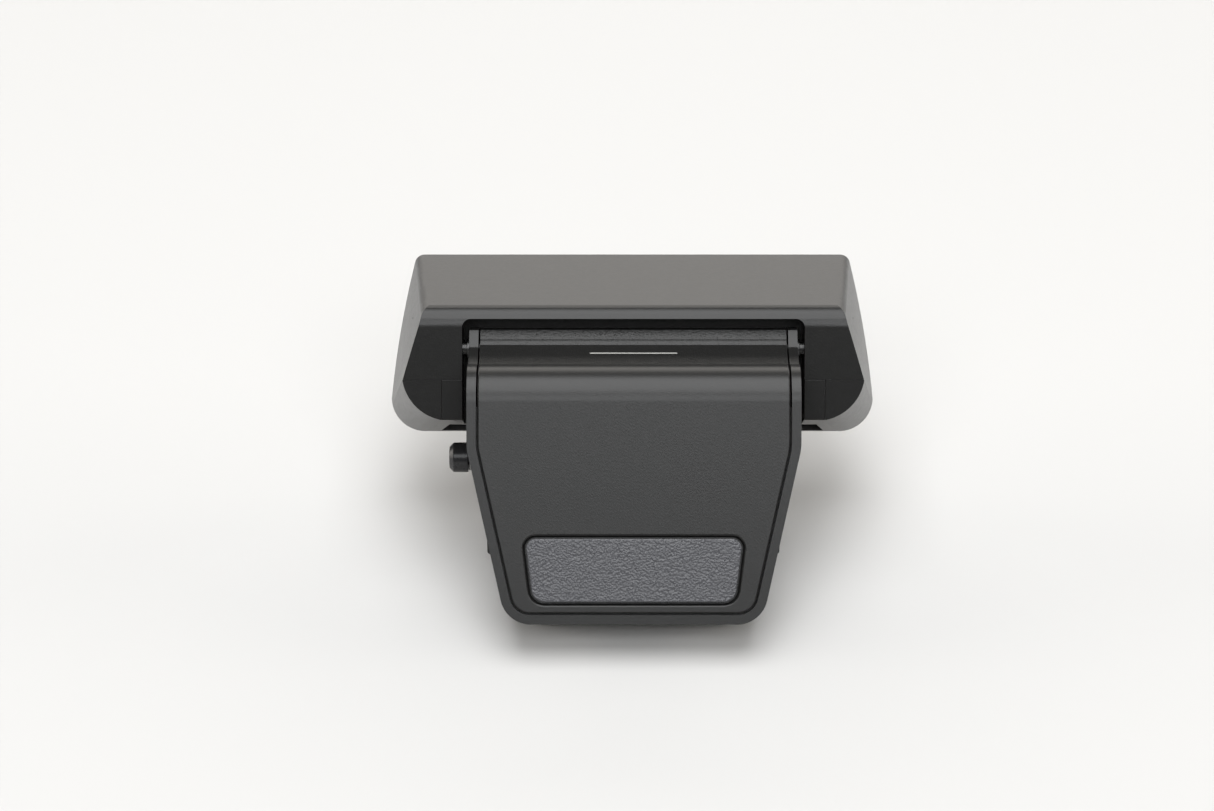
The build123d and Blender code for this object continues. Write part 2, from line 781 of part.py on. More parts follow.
with BuildPart() as head_bottom_cover:
    add(head_shell)
    split(bisect_by=parting_shifted(-seam_gap / 2), keep=Keep.BOTTOM)
    for side in (-1, 1):
        split(bisect_by=seam_plane(side, -seam_gap / 2), keep=Keep.BOTTOM)
save(head_bottom_cover.part, "head_bottom_cover")

window_inner = head_depth_front - 1.3
with BuildPart() as window:
    add(head_block(window_inner, head_depth_front - 0.2, wall + gap))
    below = lower_wall_slab(22.0, 22.0, 8.0, 16.0, -1.0, notch_depth + notch_floor + gap)
    add(below, mode=Mode.SUBTRACT)
save(window.part, "window")

with BuildPart() as reflector:
    for s, half, low, high in ((4.4, 17.6, -3.0, 1.4), (10.2, 18.6, -7.4, 5.6)):
        with BuildSketch(head_section(s)):
            with Locations((0, (low + high) / 2)):
                RectangleRounded(2 * half, high - low, 0.6)
    loft()
    for s, half, low, high in ((4.8, 17.2, -2.6, 1.0), (10.3, 18.2, -7.0, 5.2)):
        with BuildSketch(head_section(s)):
            with Locations((0, (low + high) / 2)):
                RectangleRounded(2 * half, high - low, 0.4)
    loft(mode=Mode.SUBTRACT)
    with BuildSketch(Plane(head_point(6.0, -0.9), x_dir=beam, z_dir=(1, 0, 0))):
        Circle(1.15)
    extrude(amount=20, both=True, mode=Mode.SUBTRACT)
save(reflector.part, "reflector")

tube_plane = Plane(head_point(6.0, -0.9), x_dir=beam, z_dir=(1, 0, 0))
with BuildPart() as flash_tube:
    with BuildSketch(tube_plane):
        Circle(1.05)
    extrude(amount=18.6, both=True)
    fillet(flash_tube.edges(), 0.3)
save(flash_tube.part, "flash_tube")

with BuildPart() as tube_holders:
    for side in (-1, 1):
        with BuildSketch(Plane(head_point(6.0, -0.9, side * 18.3), x_dir=beam, z_dir=(side, 0, 0))):
            Rectangle(3.0, 3.4)
        extrude(amount=1.0)
    with BuildSketch(tube_plane):
        Circle(1.05)
    extrude(amount=18.6, both=True, mode=Mode.SUBTRACT)
save(tube_holders.part, "tube_holders")

with BuildPart() as tube_electrodes:
    for side in (-1, 1):
        with BuildSketch(Plane(head_point(6.0, -0.9, side * 19.32), x_dir=beam, z_dir=(side, 0, 0))):
            Circle(0.4)
        extrude(amount=0.5)
save(tube_electrodes.part, "tube_electrodes")
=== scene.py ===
# %% [markdown]
# # A small folding speedlight
# The measured model arrives first: every casing, pin and spring as a closed solid, in metres, already in
# its place. All the work below is about how those pieces look. Reading positions from the frame, and not
# typing them in, means that nothing has to be fitted by eye later.

import json
from math import atan2, cos, pi, radians, sin

import bmesh
import bpy
from mathutils import Matrix, Vector


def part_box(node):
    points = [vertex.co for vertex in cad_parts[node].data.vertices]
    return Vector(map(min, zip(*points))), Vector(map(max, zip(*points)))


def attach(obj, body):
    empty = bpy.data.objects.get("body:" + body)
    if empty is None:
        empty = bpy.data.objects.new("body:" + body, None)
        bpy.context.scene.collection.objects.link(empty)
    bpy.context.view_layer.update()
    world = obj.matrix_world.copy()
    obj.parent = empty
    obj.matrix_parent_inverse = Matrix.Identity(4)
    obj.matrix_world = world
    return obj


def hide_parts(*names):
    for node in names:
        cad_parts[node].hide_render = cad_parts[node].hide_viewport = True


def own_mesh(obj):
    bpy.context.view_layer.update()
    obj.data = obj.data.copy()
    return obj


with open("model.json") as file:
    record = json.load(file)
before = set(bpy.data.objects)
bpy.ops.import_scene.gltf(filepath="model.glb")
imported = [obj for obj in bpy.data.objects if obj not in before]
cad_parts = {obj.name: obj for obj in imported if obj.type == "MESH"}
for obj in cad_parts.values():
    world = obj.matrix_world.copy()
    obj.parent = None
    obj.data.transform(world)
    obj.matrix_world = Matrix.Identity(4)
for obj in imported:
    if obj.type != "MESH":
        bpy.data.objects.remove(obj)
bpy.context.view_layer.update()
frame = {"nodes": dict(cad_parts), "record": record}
nodes = frame["nodes"]
slot_of = {entry["node"]: entry["material_slot"] for entry in frame["record"]["subparts"]}
behaviour = frame["record"]["behaviour"]
body_of = {node: body for body, members in behaviour["bodies"].items() for node in members}
joint_of = {joint["name"]: joint for joint in behaviour["joints"]}
MM = 0.001

# %% [markdown]
# ## The camera
# A small product looks calm through a long lens from a good distance. The camera stands behind the flash,
# where the photographer would be, and looks down at the same slope that the arm's rear face leans, so that
# face is seen square.

# %% Camera
view_drop = radians(35)
view_target = Vector((-2.4, -1.2, 19.8)) * MM
view_distance = 315 * MM

camera_data = bpy.data.cameras.new("studio_camera")
camera_data.lens = 104.8
camera_data.clip_start = 0.01
camera = bpy.data.objects.new("studio_camera", camera_data)
camera.location = view_target + Vector((0, -cos(view_drop), sin(view_drop))) * view_distance
camera.rotation_euler = (pi / 2 - view_drop, 0, 0)
bpy.context.collection.objects.link(camera)
bpy.context.scene.camera = camera
print("camera:", [round(v, 4) for v in camera.location])

# %% [markdown]
# ## Floor and light
# Black plastic has almost no colour of its own. What the eye reads as its shape is the room mirrored in it,
# so the lights are placed for their reflections: a broad lamp overhead rolls along every upper edge, a
# bright wall beyond the flash whitens what is seen at a glancing angle, and the side where the photographer
# stands is left dim, so the faces turned that way stay deep.

# %% Shader helpers
def new_material(name):
    """A material with an empty node tree, its output and a Principled shader."""
    material = bpy.data.materials.new(name)
    material.use_nodes = True
    shader = material.node_tree.nodes["Principled BSDF"]
    return material, material.node_tree, shader


def object_coordinates(tree):
    """The piece's own coordinates, in metres."""
    return tree.nodes.new("ShaderNodeTexCoord").outputs["Object"]


def noise(tree, scale, detail=2.0, roughness=0.5):
    """A three-dimensional noise on the piece's own coordinates."""
    texture = tree.nodes.new("ShaderNodeTexNoise")
    texture.inputs["Scale"].default_value = scale
    texture.inputs["Detail"].default_value = detail
    texture.inputs["Roughness"].default_value = roughness
    tree.links.new(object_coordinates(tree), texture.inputs["Vector"])
    return texture.outputs["Fac"]


def spread(tree, value, low, high, to_low, to_high):
    """Stretches a value from one range to another."""
    node = tree.nodes.new("ShaderNodeMapRange")
    for name, number in (("From Min", low), ("From Max", high), ("To Min", to_low), ("To Max", to_high)):
        node.inputs[name].default_value = number
    tree.links.new(value, node.inputs["Value"])
    return node.outputs["Result"]


def bumped(tree, shader, layers):
    """Stacks bumps, each a height, a strength and a distance in metres, on the shader's normal."""
    normal = None
    for height, strength, distance in layers:
        bump = tree.nodes.new("ShaderNodeBump")
        bump.inputs["Strength"].default_value = strength
        bump.inputs["Distance"].default_value = distance
        tree.links.new(height, bump.inputs["Height"])
        if normal is not None:
            tree.links.new(normal, bump.inputs["Normal"])
        normal = bump.outputs["Normal"]
    tree.links.new(normal, shader.inputs["Normal"])


# %% Floor
floor_half = 1.5
floor_mesh = bpy.data.meshes.new("studio_floor")
corners = [(x * floor_half, y * floor_half, 0) for x, y in ((-1, -1), (1, -1), (1, 1), (-1, 1))]
floor_mesh.from_pydata(corners, [], [(0, 1, 2, 3)])
studio_floor = bpy.data.objects.new("studio_floor", floor_mesh)
bpy.context.collection.objects.link(studio_floor)
floor_paper, tree, shader = new_material("floor_paper")
shader.inputs["Base Color"].default_value = (0.64, 0.637, 0.63, 1)
shader.inputs["Roughness"].default_value = 0.9
shader.inputs["Specular IOR Level"].default_value = 0.2
floor_mesh.materials.append(floor_paper)
print("floor:", 2 * floor_half, "m square")


# %% Lamps and surroundings
def soft_lamp(name, place, towards, width, height, watts, colour=(1, 1, 1)):
    """A rectangular lamp that faces a point."""
    lamp = bpy.data.lights.new(name, "AREA")
    lamp.shape = "RECTANGLE"
    lamp.size = width
    lamp.size_y = height
    lamp.energy = watts
    lamp.color = colour
    holder = bpy.data.objects.new(name, lamp)
    holder.location = place
    holder.rotation_euler = (Vector(towards) - Vector(place)).to_track_quat("-Z", "Y").to_euler()
    bpy.context.collection.objects.link(holder)


soft_lamp("overhead_softbox", (0.0, 0.0, 0.6), (0, 0, 0), 0.5, 0.58, 3.7, (0.985, 0.993, 1.0))
soft_lamp("back_wall_light", (0.0, 1.0, 0.38), (0, 0, 0.04), 2.0, 0.66, 7.8, (1.0, 0.965, 0.92))
soft_lamp("front_card", (0.0, -0.62, 0.64), (0, 0, 0.02), 0.9, 0.36, 3.7, (0.97, 0.985, 1.0))
soft_lamp("left_fill", (-0.8, 0.15, 0.22), (0, 0, 0.02), 0.6, 0.5, 3.2, (1.0, 0.96, 0.90))
soft_lamp("right_fill", (0.8, 0.15, 0.22), (0, 0, 0.02), 0.6, 0.5, 3.2, (1.0, 0.96, 0.90))

world = bpy.data.worlds.new("studio_world")
bpy.context.scene.world = world
world.use_nodes = True
sky = world.node_tree.nodes["Background"]
sky.inputs["Color"].default_value = (1.0, 0.94, 0.86, 1)
sky.inputs["Strength"].default_value = 0.06
bpy.context.scene.view_settings.view_transform = "Standard"

# %% [markdown]
# ## Moulded plastics
# The casings come out of a mould whose steel was roughened by sparks. Each tiny pit catches the light on
# one side, so the surface looks matt and slightly speckled up close and silky from afar. Two noises in the
# bump do this: a fine one for the pits, and a slower one that keeps large faces from looking like a perfect
# mirror.

# %% Casing plastics
def moulded_plastic(name, colour, roughness, grain, depth, coarse):
    """Black moulded plastic; grain and depth are its pits' sizes in metres, coarse how strongly they show."""
    material, tree, shader = new_material(name)
    pits = noise(tree, 1 / grain, 2.0)
    swell = noise(tree, 0.12 / grain, 2.0)
    shader.inputs["Base Color"].default_value = (*colour, 1)
    shader.inputs["IOR"].default_value = 1.5
    shader.inputs["Specular IOR Level"].default_value = 0.4
    wear = spread(tree, noise(tree, 0.3 / grain, 4.0, 0.65), 0.3, 0.7, roughness - 0.02, roughness + 0.02)
    tree.links.new(wear, shader.inputs["Roughness"])
    bumped(tree, shader, [(swell, 0.04, depth), (pits, coarse, depth)])
    return material


finish = {}
for name, colour, roughness, grain, depth, coarse in (
    ("case_plastic", (0.015, 0.015, 0.0147), 0.31, 0.15 * MM, 0.014 * MM, 0.6),
    ("foot_plastic", (0.012, 0.012, 0.012), 0.40, 0.2 * MM, 0.008 * MM, 0.3),
    ("button_plastic", (0.032, 0.032, 0.034), 0.28, 0.14 * MM, 0.006 * MM, 0.3),
    ("ridge_plastic", (0.015, 0.015, 0.0145), 0.30, 0.16 * MM, 0.05 * MM, 1.0),
):
    finish[name] = moulded_plastic(name, colour, roughness, grain, depth, coarse)
print("plastics:", sorted(finish))


# %% Rubber, ink and metals
def plain_finish(name, colour, roughness, metallic=0.0, grain=0.2 * MM, depth=0.003 * MM):
    """A finish whose roughness wanders a little over the surface, on a faint grain."""
    material, tree, shader = new_material(name)
    shader.inputs["Base Color"].default_value = (*colour, 1)
    shader.inputs["Metallic"].default_value = metallic
    handled = spread(tree, noise(tree, 0.15 / grain, 4.0), 0.3, 0.7, roughness * 0.8, roughness * 1.2)
    tree.links.new(handled, shader.inputs["Roughness"])
    bumped(tree, shader, [(noise(tree, 1 / grain, 3.0), 0.3, depth)])
    return material


finish["pad_rubber"] = plain_finish(
    "pad_rubber", (0.085, 0.086, 0.094), 0.28, grain=0.12 * MM, depth=0.03 * MM
)
finish["white_ink"] = plain_finish("white_ink", (0.40, 0.40, 0.38), 0.5)
finish["steel"] = plain_finish("steel", (0.42, 0.42, 0.41), 0.34, 1.0)
finish["black_steel"] = plain_finish("black_steel", (0.10, 0.10, 0.10), 0.4, 1.0)
finish["contact_brass"] = plain_finish("contact_brass", (0.86, 0.66, 0.30), 0.22, 1.0)
finish["capacitor_sleeve"] = plain_finish("capacitor_sleeve", (0.02, 0.02, 0.03), 0.25)
finish["coil_tape"] = plain_finish("coil_tape", (0.5, 0.34, 0.05), 0.35)
finish["board_laminate"] = plain_finish("board_laminate", (0.02, 0.10, 0.045), 0.3)
finish["reflector_aluminium"] = plain_finish("reflector_aluminium", (0.88, 0.885, 0.89), 0.14, 1.0)
finish["holder_rubber"] = plain_finish("holder_rubber", (0.68, 0.67, 0.62), 0.55)
print("finishes so far:", len(finish))


# %% Clear plastic and glass
def clear_finish(name, tint, roughness, index):
    """Clear plastic or glass, barely tinted, with a faint ripple."""
    material, tree, shader = new_material(name)
    shader.inputs["Base Color"].default_value = (*tint, 1)
    shader.inputs["Roughness"].default_value = roughness
    shader.inputs["IOR"].default_value = index
    shader.inputs["Transmission Weight"].default_value = 1.0
    bumped(tree, shader, [(noise(tree, 400, 2.0), 0.1, 0.002 * MM)])
    return material


finish["window_clear"] = clear_finish("window_clear", (0.96, 0.98, 0.98), 0.06, 1.49)
finish["tube_glass"] = clear_finish("tube_glass", (0.98, 0.98, 0.97), 0.02, 1.46)
print("all finishes:", len(finish))

# %% [markdown]
# ## Casings with softened edges
# No moulded or machined edge is perfectly sharp: it has a radius of a tenth of a millimetre or so, and that
# radius is what draws the thin bright line along every corner. The measured solids have sharp corners, so
# each casing gets a finer twin. The twin starts as a copy, its loose triangles are joined and its flat
# faces cleaned up, and a Bevel modifier rounds what is still sharp.

# %% Softened twins of the measured pieces
def link_piece(name, mesh, cad_node):
    """Puts a finished mesh in the scene as the stand-in for a measured piece, riding on its body."""
    piece = bpy.data.objects.new(name, mesh)
    bpy.context.collection.objects.link(piece)
    slot = slot_of[cad_node]
    mesh.materials.clear()
    mesh.materials.append(finish[slot])
    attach(piece, body_of[cad_node])
    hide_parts(cad_node)
    return piece


weld_distance = 0.002  # millimetres


def cleaned_copy(node):
    """A measured piece's mesh copied in millimetres, its triangles joined and flat faces made whole."""
    shape = bmesh.new()
    shape.from_mesh(nodes[node].data)
    bmesh.ops.transform(shape, matrix=Matrix.Scale(1 / MM, 4), verts=shape.verts)
    bmesh.ops.remove_doubles(shape, verts=shape.verts, dist=weld_distance)
    bmesh.ops.dissolve_degenerate(shape, edges=shape.edges, dist=weld_distance)
    bmesh.ops.dissolve_limit(
        shape, angle_limit=radians(1.0), use_dissolve_boundaries=False, verts=shape.verts, edges=shape.edges
    )
    mesh = bpy.data.meshes.new(node + "_fine")
    shape.to_mesh(mesh)
    shape.free()
    return mesh


def evaluated_mesh(worker, name):
    """The mesh that a worker object's modifiers make, as plain data, after which the worker is removed."""
    bpy.context.view_layer.update()
    graph = bpy.context.evaluated_depsgraph_get()
    mesh = bpy.data.meshes.new_from_object(worker.evaluated_get(graph))
    mesh.name = name
    bpy.data.objects.remove(worker)
    return mesh


def softened(node, radius, segments=2, sharp_above=28):
    """Replaces a measured piece by its twin with rounded edges; radius is in millimetres."""
    worker = bpy.data.objects.new(node + "_worker", cleaned_copy(node))
    bpy.context.collection.objects.link(worker)
    worker.data.shade_smooth()
    bevel = worker.modifiers.new("edge_radius", "BEVEL")
    bevel.width = radius
    bevel.segments = segments
    bevel.limit_method = "ANGLE"
    bevel.angle_limit = radians(sharp_above)
    bevel.harden_normals = True
    bevel.use_clamp_overlap = True
    flatten = worker.modifiers.new("flat_faces_stay_flat", "WEIGHTED_NORMAL")
    flatten.weight = 100
    mesh = evaluated_mesh(worker, node + "_fine")
    mesh.transform(Matrix.Scale(MM, 4))
    return link_piece(node + "_fine", mesh, node)


edge_radii = {
    "head_top_shell": 0.06,
    "head_end_cap_left": 0.06,
    "head_end_cap_right": 0.06,
    "head_bottom_cover": 0.06,
    "arm_frame": 0.20,
    "rear_panel": 0.18,
    "hinge_cover": 0.05,
    "front_cover": 0.12,
    "base_housing": 0.20,
    "base_cover": 0.12,
    "shoe_foot": 0.10,
    "release_button": 0.08,
    "button_guide": 0.06,
    "base_screws": 0.04,
    "arm_screws": 0.04,
    "pivot_washers": 0.05,
    "index_line": 0.05,
    "tube_holders": 0.20,
    "base_board": 0.05,
    "circuit_board": 0.05,
    "transformer": 0.12,
    "trigger_coil": 0.12,
    "base_plate": 0.06,
}
edge_radii.update({f"contact_pin_{number}": 0.06 for number in range(1, 6)})
for node, radius in edge_radii.items():
    fine = softened(node, radius)
    print(node, "->", len(fine.data.polygons), "faces")

# %% [markdown]
# ## Geometry Nodes: a small workshop of rules
# Springs, the pebbles of the thumb pad and the ribs of the window are all rules, not drawings: so many
# turns of such a wire, so many ribs of such a pitch. A node tree states the rule once with named inputs,
# and each piece fills the inputs in. The result is turned into a plain mesh, so nothing depends on the tree
# afterwards.

# %% Tree helpers
def new_tree(name, inputs):
    """An empty geometry tree with a geometry socket at each end and named float inputs."""
    tree = bpy.data.node_groups.new(name, "GeometryNodeTree")
    tree.interface.new_socket("Geometry", in_out="INPUT", socket_type="NodeSocketGeometry")
    for label in inputs:
        tree.interface.new_socket(label, in_out="INPUT", socket_type="NodeSocketFloat")
    tree.interface.new_socket("Geometry", in_out="OUTPUT", socket_type="NodeSocketGeometry")
    return tree, tree.nodes.new("NodeGroupInput"), tree.nodes.new("NodeGroupOutput")


def finish_tree(tree, geometry, end, material):
    """Ends a tree the same way every time: instances made real, then the material set."""
    real = tree.nodes.new("GeometryNodeRealizeInstances")
    paint = tree.nodes.new("GeometryNodeSetMaterial")
    paint.inputs["Material"].default_value = material
    tree.links.new(geometry, real.inputs["Geometry"])
    tree.links.new(real.outputs["Geometry"], paint.inputs["Geometry"])
    tree.links.new(paint.outputs["Geometry"], end.inputs["Geometry"])


def grown(name, mesh, tree, sizes, before=()):
    """Runs a tree on a mesh with its inputs filled in, and gives back the plain mesh that it makes."""
    worker = bpy.data.objects.new(name + "_worker", mesh)
    bpy.context.collection.objects.link(worker)
    for kind, settings in before:
        step = worker.modifiers.new(kind.lower(), kind)
        for key, value in settings.items():
            setattr(step, key, value)
    modifier = worker.modifiers.new("rule", "NODES")
    modifier.node_group = tree
    for item in tree.interface.items_tree:
        if item.item_type == "SOCKET" and item.in_out == "INPUT" and item.name in sizes:
            modifier[item.identifier] = sizes[item.name]
    return evaluated_mesh(worker, name)


def math_node(tree, operation, first, second):
    """One arithmetic step; each operand is a socket or a number."""
    node = tree.nodes.new("ShaderNodeMath")
    node.operation = operation
    for socket, value in zip(node.inputs, (first, second)):
        if isinstance(value, (int, float)):
            socket.default_value = value
        else:
            tree.links.new(value, socket)
    return node.outputs["Value"]


# %% [markdown]
# ## Springs
# A coil spring is a circle swept along a spiral. The button's spring shows as bright rings between its cap
# and its collar; the others sit inside, but they are wound the same way.

# %% Spring rule
spring_tree, start, end = new_tree("coil_spring", ("Coil Radius", "Wire Radius", "Length", "Turns"))
spiral = spring_tree.nodes.new("GeometryNodeCurveSpiral")
spiral.inputs["Resolution"].default_value = 24
sweep = spring_tree.nodes.new("GeometryNodeCurveToMesh")
sweep.inputs["Fill Caps"].default_value = True
section = spring_tree.nodes.new("GeometryNodeCurvePrimitiveCircle")
section.inputs["Resolution"].default_value = 10
for output, node, socket in (
    ("Coil Radius", spiral, "Start Radius"),
    ("Coil Radius", spiral, "End Radius"),
    ("Length", spiral, "Height"),
    ("Turns", spiral, "Rotations"),
    ("Wire Radius", section, "Radius"),
):
    spring_tree.links.new(start.outputs[output], node.inputs[socket])
spring_tree.links.new(spiral.outputs["Curve"], sweep.inputs["Curve"])
spring_tree.links.new(section.outputs["Curve"], sweep.inputs["Profile Curve"])
finish_tree(spring_tree, sweep.outputs["Mesh"], end, finish["steel"])


def wound(name, low, high, along_x, wire, turns):
    """A spring that fills a box, wound along X or along Z; the wire's radius is in millimetres."""
    size = high - low
    outer = (size.y if along_x else size.x) / 2 / MM
    length = (size.x if along_x else size.z) / MM
    sizes = {"Coil Radius": outer - wire, "Wire Radius": wire, "Length": length - 2 * wire, "Turns": turns}
    mesh = grown(name, bpy.data.meshes.new(name + "_seed"), spring_tree, sizes)
    middle = (low + high) / 2
    foot = Vector((low.x, middle.y, middle.z)) if along_x else Vector((middle.x, middle.y, low.z))
    turn = Matrix.Rotation(pi / 2, 4, "Y") if along_x else Matrix.Identity(4)
    mesh.transform(Matrix.Translation((0, 0, wire)))
    mesh.transform(Matrix.Translation(foot) @ turn @ Matrix.Scale(MM, 4))
    mesh.shade_smooth()
    return mesh


springs = {"button_spring": (True, 0.12, 3.0), "fold_torsion_spring": (True, 0.15, 11.0)}
for number in range(1, 6):
    springs[f"contact_spring_{number}"] = (False, 0.11, 5.0)
pushed_by = {f"contact_spring_{number}": f"contact_slide_{number}" for number in range(1, 6)}
pushed_by["button_spring"] = "release_slide"
for node, (along_x, wire, turns) in springs.items():
    low, high = (Vector(corner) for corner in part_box(node))
    coil = link_piece(node + "_coil", wound(node + "_coil", low, high, along_x, wire, turns), node)
    if node in pushed_by:
        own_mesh(coil)
    print(coil.name, len(coil.data.polygons), "faces")

# %% [markdown]
# ## The thumb pad
# The pad is a strip of black rubber with a coarse pebbled skin, there so that a thumb can push the flash
# open. The pebbles are deep enough to catch light one by one, so they are made as real bumps and not only
# as shading. The pad is laid flat first, because its top is then level and a Remesh gives it an even skin;
# a rule lifts that skin by a noise, and the pad is leaned back again.

# %% Pad pebbles
plate_lean = radians(55)
pad_low, pad_high = (Vector(corner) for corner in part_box("thumb_pad"))
pad_centre = (pad_low + pad_high) / 2
lay_flat = Matrix.Rotation(-plate_lean, 4, "X") @ Matrix.Translation(-pad_centre / MM)

pebble_tree, start, end = new_tree("pebbled_rubber", ("Pebble Size", "Pebble Height"))
pebble_noise = pebble_tree.nodes.new("ShaderNodeTexVoronoi")
per_millimetre = math_node(pebble_tree, "DIVIDE", 1.0, start.outputs["Pebble Size"])
place_on_pad = pebble_tree.nodes.new("GeometryNodeInputPosition").outputs["Position"]
pebble_tree.links.new(per_millimetre, pebble_noise.inputs["Scale"])
pebble_tree.links.new(place_on_pad, pebble_noise.inputs["Vector"])
facing = pebble_tree.nodes.new("ShaderNodeSeparateXYZ")
normal = pebble_tree.nodes.new("GeometryNodeInputNormal").outputs["Normal"]
pebble_tree.links.new(normal, facing.inputs["Vector"])
upwards = math_node(pebble_tree, "MAXIMUM", facing.outputs["Z"], 0.0)
centred = math_node(pebble_tree, "SUBTRACT", 0.35, pebble_noise.outputs["Distance"])
height = math_node(pebble_tree, "MULTIPLY", centred, start.outputs["Pebble Height"])
lift = math_node(pebble_tree, "MULTIPLY", height, upwards)
along_normal = pebble_tree.nodes.new("ShaderNodeVectorMath")
along_normal.operation = "SCALE"
pebble_tree.links.new(normal, along_normal.inputs["Vector"])
pebble_tree.links.new(lift, along_normal.inputs["Scale"])
move = pebble_tree.nodes.new("GeometryNodeSetPosition")
pebble_tree.links.new(start.outputs["Geometry"], move.inputs["Geometry"])
pebble_tree.links.new(along_normal.outputs["Vector"], move.inputs["Offset"])
finish_tree(pebble_tree, move.outputs["Geometry"], end, finish["pad_rubber"])

flat_pad = cleaned_copy("thumb_pad")
flat_pad.transform(lay_flat)
even_skin = ("REMESH", {"mode": "VOXEL", "voxel_size": 0.046})
pebble_sizes = {"Pebble Size": 0.16, "Pebble Height": 0.085}
pad_mesh = grown("thumb_pad_pebbled", flat_pad, pebble_tree, pebble_sizes, [even_skin])
pad_mesh.transform(Matrix.Scale(MM, 4) @ lay_flat.inverted())
pad_mesh.shade_smooth()
link_piece("thumb_pad_pebbled", pad_mesh, "thumb_pad")
print("thumb pad:", len(pad_mesh.polygons), "faces")

# %% [markdown]
# ## The lamp in the head
# Behind the window sits a bright folded trough, bent from thin aluminium sheet, with a xenon tube near its
# focus. The trough is a parabola, since that shape sends the tube's light forwards. It is drawn in the
# head's own directions: across, along the beam, and up; one matrix then puts it in place.

# %% The head's own directions
head_drop = radians(26.4)
to_bounce_axis = Matrix.Translation(Vector(joint_of["bounce"]["pos_m"]))
head_place = to_bounce_axis @ Matrix.Rotation(-head_drop, 4, "X") @ Matrix.Scale(MM, 4)
tube_along, tube_up, tube_reach = 6.0, -0.9, 18.55
print("head turned down by", round(head_drop * 180 / pi, 1), "degrees")


def plain_mesh(name, points, faces, place):
    """A mesh from points and faces, its normals turned outwards, put in place by a matrix."""
    shape = bmesh.new()
    corners = [shape.verts.new(point) for point in points]
    for face in faces:
        shape.faces.new([corners[index] for index in face])
    bmesh.ops.remove_doubles(shape, verts=shape.verts, dist=0.0005)
    bmesh.ops.recalc_face_normals(shape, faces=shape.faces)
    mesh = bpy.data.meshes.new(name)
    shape.to_mesh(mesh)
    shape.free()
    mesh.transform(place)
    mesh.shade_smooth()
    return mesh


def ring_faces(rings, count):
    """Faces between neighbouring closed rings of points."""
    faces = []
    for ring in range(rings - 1):
        for step in range(count):
            a, b = ring * count + step, ring * count + (step + 1) % count
            faces.append((a, b, b + count, a + count))
    return faces


def turned(profile, centre, count=40):
    """Points and faces of a body turned about an axis along X; the profile is a list of (x, radius)."""
    points = []
    for x, radius in profile:
        for step in range(count):
            angle = 2 * pi * step / count
            points.append((x, centre[0] + radius * cos(angle), centre[1] + radius * sin(angle)))
    faces = ring_faces(len(profile), count)
    faces.append(tuple(range(count)))
    faces.append(tuple(range(len(points) - count, len(points))))
    return points, faces


# %% Reflector trough
trough_back, trough_mouth, half_mouth = 4.45, 10.15, 6.35
trough_depth = trough_mouth - trough_back
trough_half_width, trough_flare = 17.55, 0.9
tube_hole = 1.2  # radius of the hole that the tube passes through
sheet_thickness = 0.12
heights = [half_mouth * step / 24 for step in range(-24, 25)]
profile = [(trough_back + trough_depth * (height / half_mouth) ** 2, tube_up + height) for height in heights]
mouth_line = [(trough_mouth, tube_up + half_mouth - 2 * half_mouth * step / 16) for step in range(1, 16)]
outline = profile + mouth_line


def end_x(along):
    """The trough's half width, which grows a little towards its mouth."""
    return trough_half_width + (along - trough_back) / trough_depth * trough_flare


points = []
faces = []
for side in (-1, 1):
    first = len(points)
    for along, up in outline:
        points.append((side * end_x(along), along, up))
    for along, up in outline:
        angle = atan2(up - tube_up, along - tube_along)
        eye = (tube_along + tube_hole * cos(angle), tube_up + tube_hole * sin(angle))
        points.append((side * end_x(eye[0]), *eye))
    count = len(outline)
    for step in range(count):
        after = (step + 1) % count
        faces.append((first + step, first + after, first + count + after, first + count + step))
for step in range(len(profile) - 1):
    faces.append((step, step + 1, 2 * len(outline) + step + 1, 2 * len(outline) + step))
trough = plain_mesh("reflector_trough", points, faces, Matrix.Identity(4))
worker = bpy.data.objects.new("reflector_worker", trough)
bpy.context.collection.objects.link(worker)
sheet_metal = worker.modifiers.new("sheet", "SOLIDIFY")
sheet_metal.thickness = sheet_thickness
sheet_metal.offset = 0
trough = evaluated_mesh(worker, "reflector_trough")
trough.transform(head_place)
trough.set_sharp_from_angle(angle=radians(40))
link_piece("reflector_trough", trough, "reflector")
print("reflector:", len(trough.polygons), "faces")

# %% [markdown]
# ## Flash tube
# The tube is a glass pipe sealed at both ends. Inside each end sits a metal electrode; outside, a hair-thin
# wire winds round the glass and carries the pulse that starts the flash.

# %% Tube, electrodes and trigger wire
bore, tube_radius = 0.72, 1.0
glass = [(-tube_reach, 0.45), (-tube_reach + 0.05, 0.75), (-tube_reach + 0.3, tube_radius)]
glass += [(tube_reach - 0.3, tube_radius)]
glass += [(tube_reach - 0.05, 0.75), (tube_reach, 0.45)]
points, faces = turned(glass, (tube_along, tube_up))
inside = [(-16.9, 0.25), (-16.6, bore), (16.6, bore), (16.9, 0.25)]
more_points, more_faces = turned(inside, (tube_along, tube_up))
outer_skin = plain_mesh("tube_outer", points, faces, head_place)
inner_skin = plain_mesh("tube_inner", more_points, more_faces, head_place)
inner_skin.flip_normals()


def joined(name, meshes):
    """Several meshes as one."""
    shape = bmesh.new()
    for mesh in meshes:
        shape.from_mesh(mesh)
        bpy.data.meshes.remove(mesh)
    mesh = bpy.data.meshes.new(name)
    shape.to_mesh(mesh)
    shape.free()
    return mesh


tube = joined("flash_tube_glass", [outer_skin, inner_skin])
tube.set_sharp_from_angle(angle=radians(50))
link_piece("flash_tube_glass", tube, "flash_tube")

